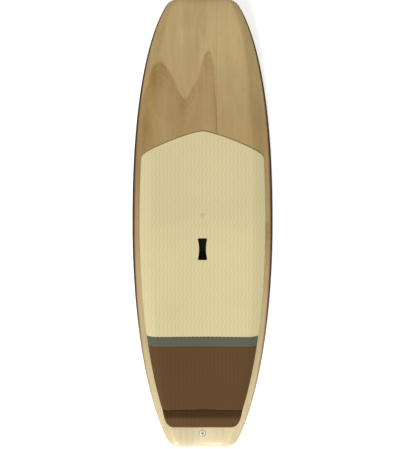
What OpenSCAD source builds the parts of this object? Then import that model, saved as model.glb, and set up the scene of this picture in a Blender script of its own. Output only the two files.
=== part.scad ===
// Wide wooden surfboard with a deck pad, carry handle, vent, leash plug and fin plugs.
// Frame: +Y points to the nose, +X to the rider's right and +Z out of the deck.
// The origin is under the middle of the board, at the lowest point of the hull.

/* [Outline] */
// Length from tail to nose
board_l = 2388; // [2250:1:2520]
// Greatest width, rail to rail
board_w = 774; // [700:1:850]
// Squareness of the front half of the outline
nose_power = 2.34; // [2.1:0.01:2.6]
// Where the front curve would close, in half lengths
nose_reach = 1.0645; // [1.05:0.0005:1.1]
// Squareness of the rear half of the outline
tail_power = 2.04; // [1.9:0.01:2.4]
// Where the rear curve would close, in half lengths
tail_reach = 1.1055; // [1.08:0.0005:1.14]
// Radius of the four corners, seen from above
corner_r = 35; // [25:1:45]

/* [Rocker] */
// Lift of the hull at the nose
nose_rocker = 133; // [100:1:170]
// How late the nose curves up
nose_rocker_power = 2.5; // [2:0.1:3]
// Lift of the hull at the tail
tail_rocker = 87; // [60:1:110]
// How late the tail curves up
tail_rocker_power = 1.85; // [1.5:0.05:2.5]
// Rear end of the flat spot in the hull
flat_rear = -140; // [-200:1:-100]

/* [Thickness] */
// Thickness at the crests of the deck, at mid length
crest_t = 126; // [110:1:140]
// Depth of the hollow along the middle of the deck
dish = 12; // [6:1:16]
// Thickness of the nose edge
nose_t = 20; // [16:1:26]
// Thickness of the tail edge
tail_t = 22; // [16:1:26]
// How late the board thins towards the nose
nose_foil = 1.34; // [1.2:0.01:1.8]
// How late the board thins towards the tail
tail_foil = 1.5; // [1.2:0.01:1.8]
// Height of the widest point of the rail, as a share of the thickness
apex_share = 0.22; // [0.15:0.01:0.35]
// Distance from the rail to the crest of the deck, at mid length
crest_in = 125; // [100:1:140]
// Distance from the rail to the flat of the hull, at mid length
tuck_in = 50; // [35:1:70]
// Thickness of the veneer-faced sandwich skin
skin_t = 4; // [3:0.5:5]

/* [Deck pad] */
// Thickness of the foam pads
pad_t = 5; // [3:0.5:7]
// Margin between the pads and the rail
pad_in = 47; // [40:1:60]
// Front tip of the front pad
pad_front = 499; // [450:1:540]
// Rear end of the front pad, where the grey band starts
band_front = -599; // [-620:1:-580]
// Rear end of the grey band, where the tail pad starts
band_rear = -653; // [-670:1:-640]
// Foot of the kick's ramp, where the tail pad ends
kick_front = -986; // [-1000:1:-980]
// Rear face of the kick
kick_rear = -1075; // [-1080:1:-1070]
// Height of the top of the kick
kick_top = 155; // [150:1:160]
// Height of the foot of the kick's ramp
kick_foot = 134; // [132:1:140]

/* [Handle] */
// Centre of the handle along the board
handle_y = -132; // [-140:1:-120]
// Length of the handle's mouth
mouth_l = 120; // [110:1:130]
// Width of the handle's mouth at its ends
mouth_w = 53; // [48:1:58]
// Width of the handle's mouth at its waist
mouth_waist = 40; // [36:1:44]
// Depth of the handle cup
cup_depth = 38; // [34:1:44]

/* [Vent and leash plug] */
// Place of the vent along the board
vent_y = 47; // [40:1:60]
// Rise of the vent screw in one turn
vent_pitch = 1.5; // [1:0.25:2]
// Place of the leash plug along the board
leash_y = -1112; // [-1114:1:-1110]
// Outer radius of the leash cup
leash_r = 14.5; // [13:0.5:16]
// Radius of the leash crossbar
leash_bar_r = 2; // [1.5:0.25:2.5]

/* [Fin plugs] */
// Outer radius of a fin plug
plug_r = 15; // [14:0.5:16]
// Height of a fin plug
plug_h = 20; // [18:1:22]
// Distance between the two plugs of a fin
plug_pitch = 57; // [55:0.5:59]
// Distance of the side fins from the centre line
side_x = 241; // [236:1:246]
// Middle of the side fins along the board
side_y = -797; // [-800:1:-790]
// Angle that the side fins point inwards
side_toe = 3; // [0:0.5:5]
// Distance of the rear plugs from the centre line
rear_x = 55; // [50:1:60]
// Middle of the rear plugs along the board
rear_y = -1027; // [-1030:1:-1020]
// Width of the slot for a fin's tab
slot_w = 6.5; // [6:0.25:7]
// Length of the slot for a fin's tab
slot_l = 25; // [23:0.5:26]

/* [Hidden] */
$fn = 64;

half_l = board_l / 2;
far = 2 * board_l;

// Points across half a section, from the edge of the flat hull round the rail to the middle of the deck
low_steps = [1, 0.8, 0.62, 0.5, 0.25, 0];
up_steps = [0.12, 0.24, 0.3, 0.42, 0.56, 0.7, 0.85, 1];
deck_steps = [0.75, 0.5, 0.25, 0];
// Places in that list where the pinline strips start and end
low_in = 2;
low_out = 3;
up_out = 7;
up_in = 8;
// Index of the point on the deck's centre line, and the number of points round a whole section
mid = len(low_steps) + len(up_steps) + len(deck_steps) - 1;
ring_n = 2 * mid + 1;
// Number of spaces between sections, and of those that an end block takes
rows = 40;
block_rows = 4;

// Seams between the sheets of veneer
deck_seam_x = 75;
hull_seam_front = 438;
hull_seam_rear = -495;

stringer_t = 4;
pad_corner_r = 36;
kick_corner_r = 40;
kick_ramp = 36;
kick_skin = 5;
kick_lip = 7;
kick_round = 12;
kick_base = 100;

mouth_corner_r = 8;
cup_wall = 3;
cup_lip = 5;
cup_side = 10;
cup_r = 12;

vent_hole_r = 12.5;
vent_flange_r = 12;
vent_flange_t = 2;
vent_body_r = 9;
vent_body_h = 20;
vent_thread_r = 6;
vent_head_r = 10;
vent_head_t = 3.5;
vent_shank_h = 9;
ring_major = 7.5;
ring_minor = 1;
running_gap = 0.05;

leash_ring_r = 19;
leash_cup_h = 21;
leash_well_r = 8.5;
leash_well_h = 16;
leash_bar_depth = 5;
leash_bar_l = 26;

slot_h = 14;
grub_r = 2.5;
grub_l = 7;
grub_mouth = 9.5;
grub_lean = 40;
grub_start = 2.5;
grub_socket_r = 1.4;
grub_socket_h = 3;

// Place and toe-in of each fin plug: [x, y, angle]
side_plugs = [
    for (side = [-1, 1]) for (end = [1, -1])
        [side * (side_x - end * sin(side_toe) * plug_pitch / 2), side_y + end * plug_pitch / 2, side * side_toe]
];
rear_plugs = [for (side = [-1, 1]) for (end = [1, 0, -1]) [side * rear_x, rear_y + end * plug_pitch, 0]];
plugs = concat(side_plugs, rear_plugs);

// Boxes of hard foam let into the blank, all but the leash plug's from skin to skin: [low corner, size]
handle_box = [[-50, handle_y - 90, -10], [100, 180, 200]];
leash_box = [[-32, leash_y - 22, 101], [64, 46, 100]];
rear_box = [[-85, rear_y - plug_pitch - 20, -10], [170, 2 * plug_pitch + 42, 200]];
side_box_size = [70, plug_pitch + 70, 200];
// The stringer runs through under the handle and over the rear fin plugs, between these heights
stringer_low_top = 60;
stringer_high_foot = 96;
right_box = [[side_x - 35, side_y - plug_pitch / 2 - 35, -10], side_box_size];
left_box = [[-side_x - 35, side_y - plug_pitch / 2 - 35, -10], side_box_size];

// ---- Shape of the board ----

// Point at t on a cubic curve through a and d, led by b and c
function bezier(a, b, c, d, t) =
    a * pow(1 - t, 3) + 3 * b * t * pow(1 - t, 2) + 3 * c * t * t * (1 - t) + d * pow(t, 3);

// Half the width at y
function curve_half(y) =
    let (power = y > 0 ? nose_power : tail_power)
    let (reach = half_l * (y > 0 ? nose_reach : tail_reach))
    board_w / 2 * pow(1 - pow(abs(y) / reach, power), 1 / power);
function corner_loss(y) =
    let (k = max(0, (abs(y) - half_l + corner_r) / corner_r))
    corner_r * (1 - sqrt(max(0, 1 - k * k)));
function half_w(y) = curve_half(y) - corner_loss(y);

// Height of the hull at y
function hull_z(y) =
    y > 0 ? nose_rocker * pow(y / half_l, nose_rocker_power)
    : y < flat_rear ? tail_rocker * pow((flat_rear - y) / (half_l + flat_rear), tail_rocker_power)
    : 0;

// Thickness at the crests at y, and the same as a share of the greatest thickness
function thick(y) =
    let (edge = y > 0 ? nose_t : tail_t)
    edge + (crest_t - edge) * sqrt(max(0, 1 - pow(abs(y) / half_l, y > 0 ? nose_foil : tail_foil)));
function full(y) = thick(y) / crest_t;

// Height of the widest point of the rail above the hull at y
function apex_h(y) = thick(y) * (apex_share + (0.5 - apex_share) * pow(abs(y) / half_l, 4));

// Height of the deck's centre line at y, and the slopes of deck and hull there
function deck_z(y) = hull_z(y) + thick(y) - dish * full(y);
function deck_slope(y) = atan((deck_z(y + 5) - deck_z(y - 5)) / 10);
function hull_slope(y) = atan((hull_z(y + 5) - hull_z(y - 5)) / 10);

// Points [x, z] of half a section at y, all d below the surface
function low_point(y, d, t) =
    let (tuck = tuck_in * full(y) - d)
    let (apex = apex_h(y) * (1 - 2 * d / thick(y)))
    [half_w(y) - d - bezier(0, 0, 0.3 * tuck, tuck, t), hull_z(y) + d + bezier(apex, 0.4 * apex, 0, 0, t)];
function up_point(y, d, t) =
    let (crest = crest_in * full(y) - d)
    let (apex = apex_h(y) * (1 - 2 * d / thick(y)))
    let (rise = thick(y) - 2 * d - apex)
    [half_w(y) - d - bezier(0, 0, 0.7 * crest, crest, t),
        hull_z(y) + d + apex + rise * bezier(0, 0.15, 1, 1, t)];
function deck_point(y, d, s) =
    [s * (half_w(y) - crest_in * full(y)), deck_z(y) - d + dish * full(y) * (1 - pow(1 - s * s, 2))];
function half_section(y, d) = concat(
    [for (t = low_steps) low_point(y, d, t)],
    [for (t = up_steps) up_point(y, d, t)],
    [for (s = deck_steps) deck_point(y, d, s)]
);

// A whole section as 3D points: up the right side and down the left
function ring(y, d) =
    let (half = half_section(y, d))
    concat(
        [for (i = [0:mid]) [half[i].x, y, half[i].y]],
        [for (i = [mid - 1:-1:0]) [-half[i].x, y, half[i].y]]
    );

// Place of each section along the board, closest together at the ends
function row_y(r) = half_l * sin(180 * r / rows - 90);
function row_before(y) = floor((asin(y / half_l) + 90) * rows / 180);
function row_after(y) = ceil((asin(y / half_l) + 90) * rows / 180);

// ---- Solids that follow the board's surface ----

// A solid through closed sections of n points each. mirrored cuts the quads along their other diagonal
module loft(sections, mirrored = false) {
    n = len(sections[0]);
    last = (len(sections) - 1) * n;
    sides = [
        for (r = [0:len(sections) - 2]) for (j = [0:n - 1])
            let (a = r * n + j)
            let (b = r * n + (j + 1) % n)
            each mirrored ? [[a, b, a + n], [b, b + n, a + n]] : [[a, b, b + n], [a, b + n, a + n]]
    ];
    ends = [[for (j = [n - 1:-1:0]) j], [for (j = [0:n - 1]) last + j]];
    polyhedron([for (section = sections) each section], concat(sides, ends));
}

// The solid inside the surface that lies d below the skin, from row r0 to row r1
module blank(d, r0, r1) {
    loft([for (r = [r0:r1]) ring(row_y(r), d)]);
}

// A sheet between depths d0 and d1, over points j0 to j1 of the rings and rows r0 to r1
module sheet(j0, j1, d0, d1, r0 = 0, r1 = rows) {
    n = j1 - j0 + 1;
    m = r1 - r0 + 1;
    inner = m * n;
    outside = [for (r = [r0:r1]) let (p = ring(row_y(r), d0)) for (j = [j0:j1]) p[(j + ring_n) % ring_n]];
    inside = [for (r = [r0:r1]) let (p = ring(row_y(r), d1)) for (j = [j0:j1]) p[(j + ring_n) % ring_n]];
    faces = [
        for (r = [0:m - 2]) for (j = [0:n - 2])
            let (a = r * n + j)
            each [[a, a + 1, a + n + 1], [a, a + n + 1, a + n]]
    ];
    backs = [for (f = faces) [f[0] + inner, f[2] + inner, f[1] + inner]];
    walls = [
        for (r = [0:m - 2])
            let (a = r * n)
            let (b = r * n + n - 1)
            each [
                [a, a + n, a + n + inner], [a, a + n + inner, a + inner],
                [b + n, b, b + n + inner], [b, b + inner, b + n + inner]
            ]
    ];
    caps = [
        for (j = [0:n - 2])
            let (b = (m - 1) * n + j)
            each [
                [j + 1, j, j + inner], [j + 1, j + inner, j + 1 + inner],
                [b, b + 1, b + 1 + inner], [b, b + 1 + inner, b + inner]
            ]
    ];
    polyhedron(concat(outside, inside), concat(faces, backs, walls, caps));
}

module box(corner_and_size) {
    translate(corner_and_size[0]) cube(corner_and_size[1]);
}

// Everything on one side of a plane across the x or y axis
module beyond_x(x) {
    translate([x, -far / 2, -far / 2]) cube(far);
}
module ahead_of(y) {
    translate([-far / 2, y, -far / 2]) cube(far);
}

// Puts its children on the deck's centre line, tilted with the deck
module on_deck(y) {
    translate([0, y, deck_z(y)]) rotate([deck_slope(y), 0, 0]) children();
}

// Puts its children at fin plug i, with z = 0 on the hull and +z into the board
module at_plug(i) {
    p = plugs[i];
    translate([p.x, p.y, hull_z(p.y)]) rotate([hull_slope(p.y), 0, 0]) rotate([0, 0, p.z]) children();
}

// ---- Pockets ----

module plug_pockets() {
    for (i = [0:len(plugs) - 1])
        at_plug(i) translate([0, 0, -10]) cylinder(r = plug_r, h = plug_h + 10);
}

module handle_pocket() {
    on_deck(handle_y) translate([0, 0, -cup_depth]) linear_extrude(cup_depth + 20) cup_outline();
}

module vent_pocket() {
    on_deck(vent_y) translate([0, 0, -vent_body_h]) cylinder(r = vent_body_r, h = vent_body_h + 10);
}

module leash_pocket() {
    on_deck(leash_y) {
        translate([0, 0, -leash_cup_h]) cylinder(r = leash_r, h = leash_cup_h + 10);
        translate([0, 0, -skin_t]) cylinder(r = leash_ring_r, h = skin_t + 10);
    }
}

// ---- Blank: foam, stringer and hard inserts ----

// Half of a section of the foam, from the stringer outwards
function core_section(y) = concat(
    [[stringer_t / 2, y, hull_z(y) + skin_t]],
    [for (p = half_section(y, skin_t)) [max(p.x, stringer_t / 2), y, p.y]]
);

module core_cuts() {
    box(handle_box);
    box(leash_box);
    box(rear_box);
    vent_pocket();
}

module core_right() {
    color("white") difference() {
        loft([for (r = [block_rows:rows - block_rows]) core_section(row_y(r))]);
        core_cuts();
        box(right_box);
    }
}

module core_left() {
    color("white") difference() {
        mirror([1, 0, 0]) loft([for (r = [block_rows:rows - block_rows]) core_section(row_y(r))], true);
        core_cuts();
        box(left_box);
    }
}

module stringer() {
    inner = [for (r = [block_rows:rows - block_rows]) core_section(row_y(r))];
    lower = [for (section = inner) [section[0].y, section[0].z]];
    upper = [for (i = [len(inner) - 1:-1:0]) [inner[i][mid + 1].y, inner[i][mid + 1].z]];
    color("burlywood") difference() {
        rotate([90, 0, 90]) translate([0, 0, -stringer_t / 2]) linear_extrude(stringer_t)
            polygon(concat(lower, upper));
        difference() {
            box(handle_box);
            translate([-far / 2, -far / 2, stringer_low_top - far]) cube(far);
        }
        difference() {
            box(rear_box);
            translate([-far / 2, -far / 2, stringer_high_foot]) cube(far);
        }
        box(leash_box);
        vent_pocket();
    }
}

// Slot through an insert for the stringer, between two heights
module stringer_slot(z0, z1) {
    translate([-stringer_t / 2, -half_l, z0]) cube([stringer_t, board_l, z1 - z0]);
}

module nose_block() {
    color("tan") blank(skin_t, rows - block_rows, rows);
}

module tail_block() {
    color("tan") blank(skin_t, 0, block_rows);
}

// The part of the blank inside a box
module insert(corner_and_size) {
    y0 = corner_and_size[0].y;
    y1 = y0 + corner_and_size[1].y;
    color("palegoldenrod") intersection() {
        blank(skin_t, max(block_rows, row_before(y0)), row_after(y1));
        box(corner_and_size);
    }
}

module handle_block() {
    difference() {
        insert(handle_box);
        handle_pocket();
        stringer_slot(-10, stringer_low_top);
    }
}

module leash_block() {
    difference() {
        insert(leash_box);
        leash_pocket();
    }
}

module fin_block_rear() {
    difference() {
        insert(rear_box);
        plug_pockets();
        stringer_slot(stringer_high_foot, 200);
        box(leash_box);
    }
}

module fin_block_right() {
    difference() {
        insert(right_box);
        plug_pockets();
    }
}

module fin_block_left() {
    difference() {
        insert(left_box);
        plug_pockets();
    }
}

// ---- Skins, pinlines and rails ----

module deck_sheet() {
    difference() {
        sheet(up_in, ring_n - 1 - up_in, 0, skin_t);
        handle_pocket();
        vent_pocket();
        leash_pocket();
    }
}

module deck_skin_right() {
    color("peru") intersection() {
        deck_sheet();
        beyond_x(deck_seam_x);
    }
}

module deck_skin_left() {
    color("peru") difference() {
        deck_sheet();
        beyond_x(deck_seam_x);
    }
}

module hull_sheet() {
    difference() {
        sheet(-low_in - 1, low_in, 0, skin_t);
        plug_pockets();
    }
}

module bottom_skin_nose() {
    color("burlywood") intersection() {
        sheet(-low_in - 1, low_in, 0, skin_t, row_before(hull_seam_front), rows);
        ahead_of(hull_seam_front);
    }
}

module bottom_skin_right() {
    color("burlywood") difference() {
        intersection() {
            hull_sheet();
            beyond_x(0);
        }
        ahead_of(hull_seam_front);
    }
}

module bottom_skin_left_front() {
    color("burlywood") intersection() {
        sheet(-low_in - 1, low_in, 0, skin_t, row_before(hull_seam_rear), row_after(hull_seam_front));
        translate([-board_w, hull_seam_rear, -10]) cube([board_w, hull_seam_front - hull_seam_rear, 300]);
    }
}

module bottom_skin_left_rear() {
    color("burlywood") difference() {
        hull_sheet();
        beyond_x(0);
        ahead_of(hull_seam_rear);
    }
}

module rail_right() {
    color("saddlebrown") sheet(low_out, up_out, 0, skin_t);
}

module rail_left() {
    color("saddlebrown") sheet(ring_n - 1 - up_out, ring_n - 1 - low_out, 0, skin_t);
}

module pinline_upper_right() {
    color("darkorange") sheet(up_out, up_in, 0, skin_t);
}

module pinline_upper_left() {
    color("darkorange") sheet(ring_n - 1 - up_in, ring_n - 1 - up_out, 0, skin_t);
}

module pinline_lower_right() {
    color("darkorange") sheet(low_in, low_out, 0, skin_t);
}

module pinline_lower_left() {
    color("darkorange") sheet(ring_n - 1 - low_out, ring_n - 1 - low_in, 0, skin_t);
}

// ---- Handle ----

module round_rect(l, w, r) {
    square([w - 2 * r, l], center = true);
    square([w, l - 2 * r], center = true);
    for (x = [-1, 1]) for (y = [-1, 1])
        translate([x * (w / 2 - r), y * (l / 2 - r)]) circle(r);
}

module cup_outline() {
    round_rect(mouth_l + 2 * cup_wall, mouth_w + 2 * cup_side, cup_r);
}

// Mouth of the handle: a rounded rectangle with its long sides pulled in to a waist
module mouth_outline() {
    chord = mouth_l / 2 - mouth_corner_r;
    dip = (mouth_w - mouth_waist) / 2;
    waist_r = (chord * chord + dip * dip) / (2 * dip);
    difference() {
        round_rect(mouth_l, mouth_w, mouth_corner_r);
        for (side = [-1, 1])
            translate([side * (mouth_waist / 2 + waist_r), 0]) circle(waist_r, $fn = 180);
    }
}

module handle_cup() {
    color("black") on_deck(handle_y) difference() {
        translate([0, 0, -cup_depth]) linear_extrude(cup_depth) cup_outline();
        translate([0, 0, cup_wall - cup_depth]) linear_extrude(cup_depth - cup_wall - cup_lip)
            round_rect(mouth_l, mouth_w + 2 * cup_side - 2 * cup_wall, cup_r - cup_wall);
        translate([0, 0, -cup_lip - 1]) linear_extrude(cup_lip + 2) mouth_outline();
    }
}

// ---- Vent ----

module vent_housing() {
    color("dimgray") on_deck(vent_y) difference() {
        union() {
            translate([0, 0, 0.1]) cylinder(r = vent_flange_r, h = vent_flange_t);
            translate([0, 0, -vent_body_h]) cylinder(r = vent_body_r, h = vent_body_h + 0.1);
        }
        translate([0, 0, 3 - vent_body_h]) cylinder(r = vent_thread_r + running_gap, h = vent_body_h + 10);
        translate([0, 0, -vent_body_h - 1]) cylinder(r = 2, h = 10);
        translate([0, 0, vent_flange_t + 0.1]) rotate_extrude()
            translate([ring_major, 0]) circle(ring_minor + 0.1, $fn = 32);
    }
}

module vent_o_ring() {
    color("black") on_deck(vent_y) translate([0, 0, vent_flange_t + 0.1]) rotate_extrude()
        translate([ring_major, 0]) circle(ring_minor, $fn = 32);
}

module vent_screw() {
    head_z = vent_flange_t + 0.1 + ring_minor + running_gap;
    color("lightgray") on_deck(vent_y) difference() {
        union() {
            translate([0, 0, head_z]) cylinder(r = vent_head_r, h = vent_head_t);
            translate([0, 0, head_z - vent_shank_h]) cylinder(r = vent_thread_r, h = vent_shank_h + 0.1);
        }
        translate([0, 0, head_z - vent_shank_h - 1]) cylinder(r = 2.5, h = vent_shank_h + 1);
        translate([-7, -0.8, head_z + vent_head_t - 1.6]) cube([14, 1.6, 2]);
    }
}

module vent_membrane() {
    color("white") on_deck(vent_y) translate([0, 0, 3 - vent_body_h])
        cylinder(r = vent_thread_r, h = 0.6);
}

// ---- Leash plug ----

module leash_cup() {
    color("ivory") on_deck(leash_y) difference() {
        translate([0, 0, -leash_cup_h]) cylinder(r = leash_r, h = leash_cup_h);
        translate([0, 0, -leash_well_h]) cylinder(r = leash_well_r, h = leash_well_h + 1);
        translate([-leash_bar_l / 2, 0, -leash_bar_depth]) rotate([0, 90, 0])
            cylinder(r = leash_bar_r, h = leash_bar_l);
    }
}

module leash_bar() {
    color("silver") on_deck(leash_y) translate([-leash_bar_l / 2, 0, -leash_bar_depth])
        rotate([0, 90, 0]) cylinder(r = leash_bar_r, h = leash_bar_l);
}

module leash_ring() {
    color("darkkhaki") on_deck(leash_y) difference() {
        translate([0, 0, -skin_t]) cylinder(r = leash_ring_r, h = skin_t);
        translate([0, 0, -skin_t - 1]) cylinder(r = leash_r, h = skin_t + 2);
    }
}

// ---- Fin plugs and their grub screws ----

// Puts its children on the grub screw's axis, with z = 0 at the plug's face and +z towards the slot
module on_grub_axis() {
    translate([grub_mouth, 0, 0]) rotate([0, -grub_lean, 0]) children();
}

module fin_plug(i) {
    reach = (grub_mouth - slot_w / 2) / sin(grub_lean) + grub_r / tan(grub_lean) + 0.5;
    color("gray") at_plug(i) difference() {
        cylinder(r = plug_r, h = plug_h);
        translate([-slot_w / 2, -slot_l / 2, -1]) cube([slot_w, slot_l, slot_h + 1]);
        on_grub_axis() translate([0, 0, -5]) cylinder(r = grub_r, h = reach + 5);
    }
}

module grub_screw(i) {
    color("silver") at_plug(i) on_grub_axis() translate([0, 0, grub_start]) difference() {
        cylinder(r = grub_r - running_gap, h = grub_l);
        translate([0, 0, -1]) cylinder(r = grub_socket_r, h = grub_socket_h + 1, $fn = 6);
    }
}

module fin_plug_1() { fin_plug(0); }
module fin_plug_2() { fin_plug(1); }
module fin_plug_3() { fin_plug(2); }
module fin_plug_4() { fin_plug(3); }
module fin_plug_5() { fin_plug(4); }
module fin_plug_6() { fin_plug(5); }
module fin_plug_7() { fin_plug(6); }
module fin_plug_8() { fin_plug(7); }
module fin_plug_9() { fin_plug(8); }
module fin_plug_10() { fin_plug(9); }

// ---- Deck pads ----

// Area between y0 and y1 that keeps the pad's margin from the rails
module pad_area(y0, y1) {
    steps = 24;
    side = [for (i = [0:steps]) let (y = y0 + (y1 - y0) * i / steps) [half_w(y) - pad_in, y]];
    polygon(concat(side, [for (i = [steps:-1:0]) [-side[i].x, side[i].y]]));
}

module round_corners(r) {
    offset(r = r, $fn = 48) offset(delta = -r) children();
}

// The front pad ends in a soft point
module front_pad_outline() {
    steps = 12;
    edge_x = 289;
    edge_drop = 106;
    front = [
        for (i = [-steps:steps])
            let (x = i / steps * board_w / 2)
            [x, pad_front - edge_drop * pow(abs(x) / edge_x, 1.35)]
    ];
    intersection() {
        round_corners(pad_corner_r) intersection() {
            pad_area(band_front - 200, pad_front);
            polygon(concat(front, [[board_w / 2, band_front - 200], [-board_w / 2, band_front - 200]]));
        }
        translate([-board_w, band_front]) square([2 * board_w, board_l]);
    }
}

module kick_outline() {
    intersection() {
        round_corners(kick_corner_r) pad_area(kick_rear, kick_front + 200);
        translate([-board_w, kick_rear]) square([2 * board_w, kick_front - kick_rear]);
    }
}

// The layer of foam on the deck, inside its outline
module pad_layer(y0, y1) {
    intersection() {
        sheet(up_in, ring_n - 1 - up_in, -pad_t, 0, row_before(y0), row_after(y1));
        linear_extrude(300) children();
    }
}

module front_pad() {
    color("khaki") difference() {
        pad_layer(band_front, pad_front) front_pad_outline();
        on_deck(vent_y) translate([0, 0, -10]) cylinder(r = vent_hole_r, h = 30);
        on_deck(handle_y) translate([0, 0, -10]) linear_extrude(30) mouth_outline();
    }
}

module band_pad() {
    color("dimgray") pad_layer(band_rear, band_front) pad_area(band_rear, band_front);
}

module tail_pad() {
    color("sienna") pad_layer(kick_front, band_rear) pad_area(kick_front, band_rear);
}

// A bar across the board with the given outline in y and z, cut to the deck and the pad's margin
module kick_bar(outline) {
    intersection() {
        difference() {
            translate([-board_w / 2, 0, 0]) rotate([90, 0, 90]) linear_extrude(board_w) polygon(outline);
            blank(0, row_before(kick_rear), row_after(kick_front));
        }
        linear_extrude(300) kick_outline();
    }
}

// Slope of the ramp, and the height of the cover's underside at y
kick_rise = (kick_top - kick_foot) / kick_ramp;
kick_joint = kick_top - kick_skin;
function cover_low(y) = kick_foot + kick_rise * (kick_front - y) - kick_skin * sqrt(1 + pow(kick_rise, 2));
kick_joint_y = kick_front - (kick_joint - cover_low(kick_front)) / kick_rise;

module kick_wedge() {
    color("black") kick_bar([
        [kick_front - kick_lip, kick_base], [kick_front - kick_lip, cover_low(kick_front - kick_lip)],
        [kick_joint_y, kick_joint], [kick_rear, kick_joint], [kick_rear, kick_base]
    ]);
}

module kick_cover() {
    rounded = [
        for (a = [0:15:90])
            let (drop = kick_round * (1 - cos(a)))
            if (drop < kick_skin) [kick_rear + kick_round * (1 - sin(a)), kick_top - drop]
    ];
    color("sienna") kick_bar(concat(
        [[kick_front, kick_base], [kick_front, kick_foot], [kick_front - kick_ramp, kick_top]],
        rounded,
        [
            [kick_rear, kick_joint], [kick_joint_y, kick_joint],
            [kick_front - kick_lip, cover_low(kick_front - kick_lip)], [kick_front - kick_lip, kick_base]
        ]
    ));
}

core_left();
core_right();
stringer();
nose_block();
tail_block();
deck_skin_left();
deck_skin_right();
bottom_skin_nose();
bottom_skin_right();
bottom_skin_left_front();
bottom_skin_left_rear();
rail_left();
rail_right();
pinline_upper_left();
pinline_upper_right();
pinline_lower_left();
pinline_lower_right();
handle_block();
handle_cup();
vent_housing();
vent_screw();
vent_o_ring();
vent_membrane();
leash_block();
leash_cup();
leash_bar();
leash_ring();
fin_block_left();
fin_block_right();
fin_block_rear();
fin_plug_1();
fin_plug_2();
fin_plug_3();
fin_plug_4();
fin_plug_5();
fin_plug_6();
fin_plug_7();
fin_plug_8();
fin_plug_9();
fin_plug_10();
grub_screw(0);  // grub_screw_1
grub_screw(1);  // grub_screw_2
grub_screw(2);  // grub_screw_3
grub_screw(3);  // grub_screw_4
grub_screw(4);  // grub_screw_5
grub_screw(5);  // grub_screw_6
grub_screw(6);  // grub_screw_7
grub_screw(7);  // grub_screw_8
grub_screw(8);  // grub_screw_9
grub_screw(9);  // grub_screw_10
front_pad();
band_pad();
tail_pad();
kick_wedge();
kick_cover();
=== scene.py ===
"""Surfboard: smooth skins, rails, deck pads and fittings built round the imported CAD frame.

Lengths in the shape functions are in millimetres, as in the CAD, and meshes are made in metres.
+Y points to the nose, +X to the rider's right, +Z out of the deck.
"""

import math

import bmesh
import bpy
import numpy as np
from mathutils import Matrix, Vector
from mathutils.bvhtree import BVHTree
from mathutils.geometry import delaunay_2d_cdt


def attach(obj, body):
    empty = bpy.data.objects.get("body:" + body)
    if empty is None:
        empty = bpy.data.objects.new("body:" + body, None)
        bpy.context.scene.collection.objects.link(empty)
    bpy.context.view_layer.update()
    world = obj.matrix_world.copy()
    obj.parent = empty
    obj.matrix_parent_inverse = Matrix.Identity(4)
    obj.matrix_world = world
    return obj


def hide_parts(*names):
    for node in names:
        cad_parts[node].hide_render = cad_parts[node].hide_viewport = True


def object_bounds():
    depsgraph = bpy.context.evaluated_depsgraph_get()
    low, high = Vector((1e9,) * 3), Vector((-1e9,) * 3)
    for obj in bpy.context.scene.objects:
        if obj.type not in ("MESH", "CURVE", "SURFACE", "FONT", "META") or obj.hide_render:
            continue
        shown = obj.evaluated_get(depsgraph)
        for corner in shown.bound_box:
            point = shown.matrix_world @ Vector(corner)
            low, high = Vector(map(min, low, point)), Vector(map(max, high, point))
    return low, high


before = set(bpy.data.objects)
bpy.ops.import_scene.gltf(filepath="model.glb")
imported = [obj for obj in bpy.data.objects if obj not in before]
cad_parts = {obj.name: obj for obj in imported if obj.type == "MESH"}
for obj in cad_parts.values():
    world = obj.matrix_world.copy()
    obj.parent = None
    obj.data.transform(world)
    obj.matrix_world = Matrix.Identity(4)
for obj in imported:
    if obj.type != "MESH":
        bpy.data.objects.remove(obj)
cad_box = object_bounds()

MM = 0.001

# ---- Shape of the board: the same formulas and sizes as the CAD ----

HALF_L = 1194.0
BOARD_W = 774.0
CORNER_R = 35.0
CREST_T = 126.0
DISH = 12.0
FLAT_REAR = -140.0
APEX_SHARE = 0.22
CREST_IN = 125.0
TUCK_IN = 50.0
SKIN_T = 4.0
END_ROUND = 9.0
PAD_T = 5.0
PAD_IN = 47.0
PAD_FRONT = 499.0
PAD_CORNER_R = 36.0
PAD_HOLE_R = 12.5
GRID_STEP = 12.0
BAND_FRONT = -599.0
BAND_REAR = -653.0
KICK_FRONT = -986.0
KICK_REAR = -1075.0
KICK_TOP = 155.0
KICK_FOOT = 131.0
KICK_RAMP = 36.0
KICK_SKIN = 5.0
KICK_CORNER_R = 54.0
KICK_ROUND = 10.0
KICK_FALL = 0.06
HANDLE_Y = -132.0
VENT_Y = 47.0
LEASH_Y = -1112.0
LEASH_RING_R = 19.0
VENT_BODY_R = 9.0
CUP_GROW, CUP_DEPTH = 9.0, 38.0
DECK_SEAM_X = 75.0
HULL_SEAM_FRONT = 438.0
HULL_SEAM_REAR = -495.0
PLUG_R, PLUG_H = 15.0, 20.0
PLUG_PITCH = 57.0
SIDE_X, SIDE_Y, SIDE_TOE = 241.0, -797.0, 3.0
REAR_X, REAR_Y = 55.0, -1027.0


def bezier(a, b, c, d, t):
    return a * (1 - t) ** 3 + 3 * b * t * (1 - t) ** 2 + 3 * c * t * t * (1 - t) + d * t ** 3


def half_w(y):
    power = 2.34 if y > 0 else 2.04
    reach = HALF_L * (1.0645 if y > 0 else 1.1055)
    k = max(0.0, (abs(y) - HALF_L + CORNER_R) / CORNER_R)
    loss = CORNER_R * (1 - math.sqrt(max(0.0, 1 - k * k)))
    return BOARD_W / 2 * (1 - (abs(y) / reach) ** power) ** (1 / power) - loss


def hull_z(y):
    if y > 0:
        return 133.0 * (y / HALF_L) ** 2.5
    if y < FLAT_REAR:
        return 87.0 * ((FLAT_REAR - y) / (HALF_L + FLAT_REAR)) ** 1.85
    return 0.0


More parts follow.
